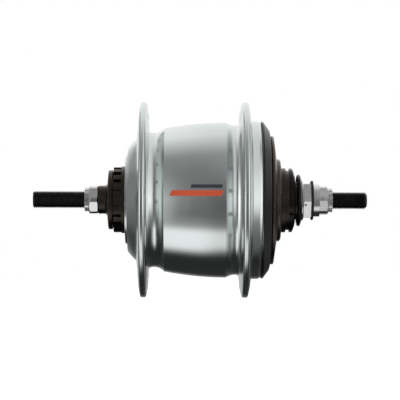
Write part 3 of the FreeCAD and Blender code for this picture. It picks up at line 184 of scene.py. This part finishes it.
def moulded(name, colour, roughness, ring_pitch=None, ring_strength=0.2, grain_strength=0.05,
            edge=0.2 * MM):
    """Moulded plastic or rubber: fine grain, slight colour drift and optional concentric ribs."""
    material, tree, shader = new_material(name)
    place, _, radius = axle_coordinates(tree)
    grain = add(tree, "ShaderNodeTexNoise", Scale=2200.0, Detail=3.0, Roughness=0.6)
    link(tree, place, "Object", grain, "Vector")
    cloud = add(tree, "ShaderNodeTexNoise", Scale=60.0, Detail=3.0, Roughness=0.5)
    link(tree, place, "Object", cloud, "Vector")
    light = tuple(channel * 1.35 for channel in colour)
    tint = ramp(tree, cloud, "Fac", [(0.35, colour), (0.7, light)])
    link(tree, tint, "Color", shader, "Base Color")
    rough = ramp(tree, cloud, "Fac", [(0.3, roughness - 0.05), (0.7, roughness + 0.07)])
    link(tree, rough, "Color", shader, "Roughness")
    bump = add(tree, "ShaderNodeBump", Strength=grain_strength, Distance=0.02 * MM)
    link(tree, grain, "Fac", bump, "Height")
    link(tree, rounded_edges(tree, edge), "Normal", bump, "Normal")
    if ring_pitch:
        phase = math_node(tree, "MULTIPLY", radius, 2 * math.pi / ring_pitch)
        wave = math_node(tree, "SINE", (phase, 0))
        sharp = ramp(tree, wave, 0, [(0.55, 1.0), (0.8, 0.0)])
        rings = add(tree, "ShaderNodeBump", Strength=ring_strength, Distance=0.15 * MM)
        link(tree, sharp, "Color", rings, "Height")
        link(tree, bump, "Normal", rings, "Normal")
        bump = rings
    link(tree, bump, "Normal", shader, "Normal")
    shader.inputs["Specular IOR Level"].default_value = 0.3
    return material


# The ring of the shell beside the drive side cap, and how far its shading leans to that side.
RING_START, RING_END = -23.2 * MM, -27.1 * MM
RING_INSIDE = 43.2 * MM
RING_LEAN = 0.13


def shell_finish():
    """Satin aluminium with a faint green cast.

    The ring beside the cap is a plain cylinder. Its shading normal alone is leant toward the drive
    side, so that it reflects the bright side of the surround.
    """
    material = metal("satin_shell", (0.60, 0.635, 0.63), 0.19, spread=0.02, marks=0.22 * MM,
                     mark_strength=0.02, grime=0.02, speckle=2500.0)
    tree = material.node_tree
    shader = tree.nodes["Principled BSDF"]
    bump = shader.inputs["Normal"].links[0].from_node
    _, along, radius = axle_coordinates(tree)
    after = math_node(tree, "LESS_THAN", along, RING_START)
    before = math_node(tree, "GREATER_THAN", along, RING_END)
    inside = math_node(tree, "MULTIPLY", (after, 0), (before, 0))
    outer = math_node(tree, "MULTIPLY", (inside, 0),
                      (math_node(tree, "GREATER_THAN", radius, RING_INSIDE), 0))
    lean = add(tree, "ShaderNodeVectorMath", operation="SCALE")
    lean.inputs[0].default_value = (0.0, -RING_LEAN, 0.0)
    link(tree, outer, 0, lean, "Scale")
    total = add(tree, "ShaderNodeVectorMath", operation="ADD")
    link(tree, bump, "Normal", total, 0)
    link(tree, lean, "Vector", total, 1)
    unit = add(tree, "ShaderNodeVectorMath", operation="NORMALIZE")
    link(tree, total, "Vector", unit, 0)
    link(tree, unit, "Vector", shader, "Normal")
    return material


def print_ink(name, colour):
    """Printed stripe: matt ink with a little mottling and wear at its fringe."""
    material, tree, shader = new_material(name)
    place = add(tree, "ShaderNodeTexCoord")
    mottle = add(tree, "ShaderNodeTexNoise", Scale=1400.0, Detail=3.0, Roughness=0.7)
    link(tree, place, "Object", mottle, "Vector")
    pale = tuple(min(channel * 1.25 + 0.01, 1.0) for channel in colour)
    tint = ramp(tree, mottle, "Fac", [(0.35, colour), (0.75, pale)])
    link(tree, tint, "Color", shader, "Base Color")
    rough = ramp(tree, mottle, "Fac", [(0.3, 0.4), (0.7, 0.55)])
    link(tree, rough, "Color", shader, "Roughness")
    return material


MATERIALS = {
    "shell_alloy": shell_finish(),
    "dark_steel": metal("dark_steel", (0.060, 0.048, 0.042), 0.33, marks=0.3 * MM,
                        mark_strength=0.12, grime=0.4),
    "black_thread": metal("black_oxide", (0.050, 0.050, 0.052), 0.30, grime=0.35, speckle=1600.0,
                          edge=0.05 * MM),
    "zinc": metal("bright_zinc", (0.70, 0.70, 0.71), 0.15, spread=0.06, marks=0.25 * MM,
                  mark_strength=0.06, grime=0.12),
    "black_plastic": moulded("black_cap", (0.008, 0.008, 0.009), 0.32, ring_pitch=2.1 * MM),
    "brown_steel": metal("brown_steel", (0.105, 0.085, 0.075), 0.30, marks=0.5 * MM,
                         mark_strength=0.2, grime=0.3),
    "black_spring_steel": metal("spring_steel", (0.022, 0.022, 0.024), 0.30, grime=0.3),
    "rubber": moulded("black_rubber", (0.012, 0.012, 0.012), 0.55, grain_strength=0.15),
    "gear_steel": metal("gear_steel", (0.50, 0.51, 0.53), 0.28, marks=0.35 * MM, grime=0.2),
    "carrier_steel": metal("carrier_steel", (0.40, 0.41, 0.43), 0.34, marks=0.4 * MM, grime=0.25),
    "bearing_steel": metal("bearing_steel", (0.82, 0.82, 0.84), 0.07, spread=0.03, grime=0.05),
    "cage_steel": metal("cage_steel", (0.48, 0.45, 0.38), 0.3, grime=0.25),
    "cage_plastic": moulded("cage_plastic", (0.55, 0.50, 0.38), 0.45),
}


def dress_nodes():
    """Every carried-over CAD node gets the finished material of its slot."""
    slots = {entry["node"]: entry["material_slot"] for entry in frame["record"]["subparts"]}
    for name, node in NODES.items():
        for slot in node.material_slots:
            slot.material = MATERIALS[slots[name]]


dress_nodes()


# ---------------------------------------------------------------- pieces in mesh code

PITCH = 25.4 / 26 * MM
THREAD_DEPTH = 0.58 * MM
CREST, FLANK = 0.12, 0.72        # shares of half a pitch
CORE_GAP = 0.2 * MM              # the CAD rod is drawn in under the thread's roots by this
CORE_TUCK = 0.4 * MM             # and at its tips by this
THREAD_GAP = 0.1 * MM            # between the locknut's face and the first turn
LEFT_CHAMFER, RIGHT_CHAMFER = 0.6 * MM, 1.3 * MM
AROUND = 72
ROWS_PER_TURN = 8


def thread_radius(y, turn, tip, chamfer):
    """Radius of the thread at a place: rounded crest, sharper root, and a cone at the tip."""
    climb = abs((y / PITCH - turn) % 1.0 - 0.5) * 2.0
    flank = min(max((climb - CREST) / FLANK, 0.0), 1.0)
    return min(AXLE_RADIUS - THREAD_DEPTH * flank, AXLE_RADIUS - chamfer + abs(tip - y))


def threaded_end(mesh, inner, tip, chamfer):
    """One free end of the axle: helical flanks from the washer out to the bevelled tip.

    Each turn of the grid climbs one pitch, so the seam joins a row to the row one turn on.
    """
    low, high = min(inner, tip), max(inner, tip)
    rows = int((high - low) / PITCH * ROWS_PER_TURN) + 2 * ROWS_PER_TURN
    grid = []
    for row in range(rows):
        ring = []
        for column in range(AROUND):
            turn = column / AROUND
            y = low + (row / ROWS_PER_TURN + turn - 1.0) * PITCH
            y = min(max(y, low), high)
            radius = thread_radius(y, turn, tip, chamfer)
            bearing = 2 * math.pi * turn
            ring.append(mesh.verts.new((radius * math.cos(bearing), y,
                                        radius * math.sin(bearing))))
        grid.append(ring)
    for row in range(rows - 1):
        for column in range(AROUND - 1):
            mesh.faces.new((grid[row][column], grid[row + 1][column],
                            grid[row + 1][column + 1], grid[row][column + 1]))
    for row in range(rows - 1 - ROWS_PER_TURN):
        ahead = row + ROWS_PER_TURN
        mesh.faces.new((grid[row][-1], grid[row + 1][-1], grid[ahead + 1][0], grid[ahead][0]))
    return grid[-1] if tip > inner else grid[0]


def close_tip(mesh, edge, tip):
    """Flat face at the end of the rod."""
    centre = mesh.verts.new((0.0, tip, 0.0))
    for column in range(AROUND):
        mesh.faces.new((edge[column], edge[(column + 1) % AROUND], centre))


def finished_piece(name, mesh, material, body, angle=None):
    """Turn a bmesh into an object that rides a body."""
    bmesh.ops.recalc_face_normals(mesh, faces=mesh.faces)
    data = bpy.data.meshes.new(name)
    mesh.to_mesh(data)
    mesh.free()
    data.materials.append(material)
    for face in data.polygons:
        face.use_smooth = angle is not None
    obj = bpy.data.objects.new(name, data)
    bpy.context.scene.collection.objects.link(obj)
    if angle is not None:
        data.set_sharp_from_angle(angle=math.radians(angle))
    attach(obj, body)
    return obj


def threaded_axle():
    """The axle with its real thread outside the washers; its covered middle is the CAD shape."""
    mesh = bmesh.new()
    mesh.from_mesh(NODES["axle"].data)
    root = AXLE_RADIUS - THREAD_DEPTH - CORE_GAP
    tuck = CORE_TUCK
    left_start = span_y("locknut_left")[1]
    right_start = span_y("locknut_right")[0]
    for vertex in mesh.verts:
        x, y, z = vertex.co
        radius = math.hypot(x, z)
        outside = y > left_start or y < right_start
        if outside and radius > root:
            vertex.co.x = x * root / radius
            vertex.co.z = z * root / radius
        if y > AXLE_HIGH - tuck or y < AXLE_LOW + tuck:
            vertex.co.y = y - math.copysign(tuck, y)
    for inner, tip, chamfer in ((left_start + THREAD_GAP, AXLE_HIGH, LEFT_CHAMFER),
                                (right_start - THREAD_GAP, AXLE_LOW, RIGHT_CHAMFER)):
        close_tip(mesh, threaded_end(mesh, inner, tip, chamfer), tip)
    piece = finished_piece("axle_with_thread", mesh, MATERIALS["black_thread"], "axle_unit", 40)
    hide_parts("axle")


STRIPE_CELLS = 36, 8
INK_HEIGHT = 0.05 * MM
STRIPE_END = -7.0 * MM


def stripe(name, colour, start, end, bottom, top, slant):
    """Plain printed stripe on the barrel, facing the camera, with slanted ends.

    It stands in for printed words. The barrel's radius at each Y comes from rays cast at the shell from outside.
    """
    shell = NODES["hub_shell"].data
    tree = BVHTree.FromPolygons([vertex.co for vertex in shell.vertices],
                                [face.vertices for face in shell.polygons])
    mesh = bmesh.new()
    across, up = STRIPE_CELLS
    grid = []
    for i in range(across + 1):
        column = []
        for j in range(up + 1):
            z = bottom + (top - bottom) * j / up
            y = start + (end - start) * i / across - slant * (j / up - 0.5)
            place = tree.ray_cast(Vector((-SHELL_RADIUS * 2, y, z)), Vector((1, 0, 0)))[0]
            outward = Vector((place.x, 0, place.z)).normalized()
            column.append(mesh.verts.new(place + outward * INK_HEIGHT))
        grid.append(column)
    for i in range(across):
        for j in range(up):
            mesh.faces.new((grid[i][j], grid[i + 1][j], grid[i + 1][j + 1], grid[i][j + 1]))
    piece = finished_piece(name, mesh, print_ink(name, colour), "shell_unit", 60)


threaded_axle()
stripe("print_dark", (0.020, 0.024, 0.035), 9.8 * MM, STRIPE_END, 6.5 * MM, 8.3 * MM,
       0.6 * MM)
stripe("print_red", (0.62, 0.075, 0.020), 20.6 * MM, STRIPE_END, 2.2 * MM, 5.2 * MM,
       1.6 * MM)


# ---------------------------------------------------------------- light, floor and camera

def tone_ramp(tree, share, stops):
    """Grey by elevation around the axle: 0 degrees is toward the camera, 90 is up."""
    return ramp(tree, share, 0, [((degrees + 180) / 360, tone) for degrees, tone in stops])


def side_weight(tree, parts, start, end):
    """0 to 1 as the direction's Y goes from start to end."""
    weight = add(tree, "ShaderNodeMapRange", interpolation_type="SMOOTHSTEP")
    link(tree, parts, "Y", weight, "Value")
    weight.inputs["From Min"].default_value = start
    weight.inputs["From Max"].default_value = end
    return weight


def sky():
    """Surround: white for the camera, and for reflections seven sets of tones by direction.

    From the brake side to the drive side they are brake_end, brake, beside, middle, drive,
    drive_far and drive_end. The middle has a lit ceiling behind the object, a dim room in front,
    a bright low strip and a dark lower back. The tones were set to suit the object.
    """
    world = bpy.data.worlds.new("studio")
    bpy.context.scene.world = world
    world.use_nodes = True
    tree = world.node_tree
    tree.nodes.clear()
    place = add(tree, "ShaderNodeTexCoord")
    parts = add(tree, "ShaderNodeSeparateXYZ")
    link(tree, place, "Generated", parts, "Vector")
    front = math_node(tree, "MULTIPLY", (parts, "X"), -1.0)
    angle = math_node(tree, "ARCTAN2", (parts, "Z"), (front, 0))
    share = math_node(tree, "MULTIPLY_ADD", (angle, 0), 1 / (2 * math.pi))
    share.inputs[2].default_value = 0.5
    middle = tone_ramp(tree, share, [
        (-180, 0.75), (-168, 0.35), (-150, 0.035), (-95, 0.03), (-86, 0.10), (-76, 0.75),
        (-68, 1.05), (-50, 1.0), (-41, 0.26), (-25, 0.14), (-8, 0.12), (5, 0.12), (20, 0.20),
        (45, 0.31), (72, 0.40), (92, 0.72), (115, 1.05), (150, 1.1), (180, 0.95)])
    beside = tone_ramp(tree, share, [
        (-180, 0.75), (-168, 0.35), (-150, 0.035), (-96, 0.03), (-90, 0.2), (-78, 1.3),
        (-50, 1.35), (-40, 0.42), (-22, 0.20), (-8, 0.22), (5, 0.26), (20, 0.22), (45, 0.26),
        (72, 0.38), (92, 0.75), (115, 1.15), (150, 1.2), (180, 0.95)])
    brake = tone_ramp(tree, share, [
        (-180, 0.6), (-150, 0.1), (-120, 0.06), (-85, 0.3), (-60, 0.9), (-20, 1.7), (0, 1.9),
        (30, 1.1), (60, 0.55), (138, 0.4), (155, 0.8), (180, 1.0)])
    height = math_node(tree, "MULTIPLY_ADD", (parts, "Z"), 0.5)
    height.inputs[2].default_value = 0.5
    brake_end = ramp(tree, height, 0, [(0.2, 0.1), (0.5, 0.28), (0.80, 0.26), (0.93, 0.8)])
    drive = tone_ramp(tree, share, [
        (-180, 0.1), (-100, 0.02), (-60, 0.08), (-30, 0.36), (-12, 1.15), (0, 1.4), (50, 0.95),
        (100, 0.95), (150, 1.1), (180, 0.95)])
    drive_far = tone_ramp(tree, share, [
        (-180, 0.4), (-100, 0.08), (-90, 0.13), (-71, 0.30), (-55, 0.7), (-30, 1.5), (0, 1.7),
        (60, 1.1), (84, 0.64), (108, 0.2), (150, 0.6), (180, 1.0)])
    drive_end = ramp(tree, height, 0, [(0.1, 0.03), (0.4, 0.2), (0.6, 0.35), (0.9, 0.9)])
    tones, socket = middle, "Color"
    for other, start, end in (
            (beside, 0.03, 0.12), (brake, 0.3, 0.48), (brake_end, 0.78, 0.93),
            (drive, -0.08, -0.24), (drive_far, -0.5, -0.72), (drive_end, -0.86, -0.93)):
        weight = side_weight(tree, parts, start, end)
        mixed = add(tree, "ShaderNodeMix", data_type="RGBA")
        link(tree, weight, "Result", mixed, "Factor")
        tree.links.new(tones.outputs[socket], mixed.inputs[6])
        tree.links.new(other.outputs["Color"], mixed.inputs[7])
        tones, socket = mixed, 2
    seen = add(tree, "ShaderNodeLightPath")
    room = add(tree, "ShaderNodeBackground", Strength=1.0)
    tree.links.new(tones.outputs[2], room.inputs["Color"])
    paper = add(tree, "ShaderNodeBackground", Strength=1.0, Color=(1.0, 1.0, 1.0, 1.0))
    mix = add(tree, "ShaderNodeMixShader")
    link(tree, seen, "Is Camera Ray", mix, "Fac")
    tree.links.new(room.outputs[0], mix.inputs[1])
    tree.links.new(paper.outputs[0], mix.inputs[2])
    output = add(tree, "ShaderNodeOutputWorld")
    link(tree, mix, 0, output, "Surface")


def floor():
    """Plain pale floor, well below the object, as in a product picture taken on a light table."""
    material, tree, shader = new_material("pale_floor")
    place = add(tree, "ShaderNodeTexCoord")
    noise = add(tree, "ShaderNodeTexNoise", Scale=3.0, Detail=3.0)
    link(tree, place, "Object", noise, "Vector")
    tint = ramp(tree, noise, "Fac", [(0.3, (0.93, 0.93, 0.93)), (0.7, (0.96, 0.96, 0.96))])
    link(tree, tint, "Color", shader, "Base Color")
    shader.inputs["Roughness"].default_value = 0.8
    shader.inputs["Emission Strength"].default_value = 0.55
    shader.inputs["Emission Color"].default_value = (1.0, 1.0, 1.0, 1.0)
    mesh = bpy.data.meshes.new("floor")
    reach, depth = 4.0, SHELL_RADIUS * 4
    mesh.from_pydata([(-reach, -reach, -depth), (reach, -reach, -depth),
                      (reach, reach, -depth), (-reach, reach, -depth)], [], [(0, 1, 2, 3)])
    mesh.materials.append(material)
    plane = bpy.data.objects.new("floor", mesh)
    bpy.context.scene.collection.objects.link(plane)
    plane.visible_glossy = False
    plane.visible_diffuse = False


def camera():
    """Square-on from -X at axle height, from a metre away, a little off centre and tilted."""
    data = bpy.data.cameras.new("camera")
    data.lens = 162.9
    data.sensor_width = 36.0
    data.shift_x = 0.025
    data.clip_start = 0.01
    obj = bpy.data.objects.new("camera", data)
    bpy.context.scene.collection.objects.link(obj)
    obj.location = (-1.0, 0.0102, 0.0)
    obj.rotation_euler = (math.radians(90), math.radians(-0.2), math.radians(-90))
    bpy.context.scene.camera = obj


sky()
floor()
camera()
bpy.context.scene.view_settings.view_transform = "Standard"
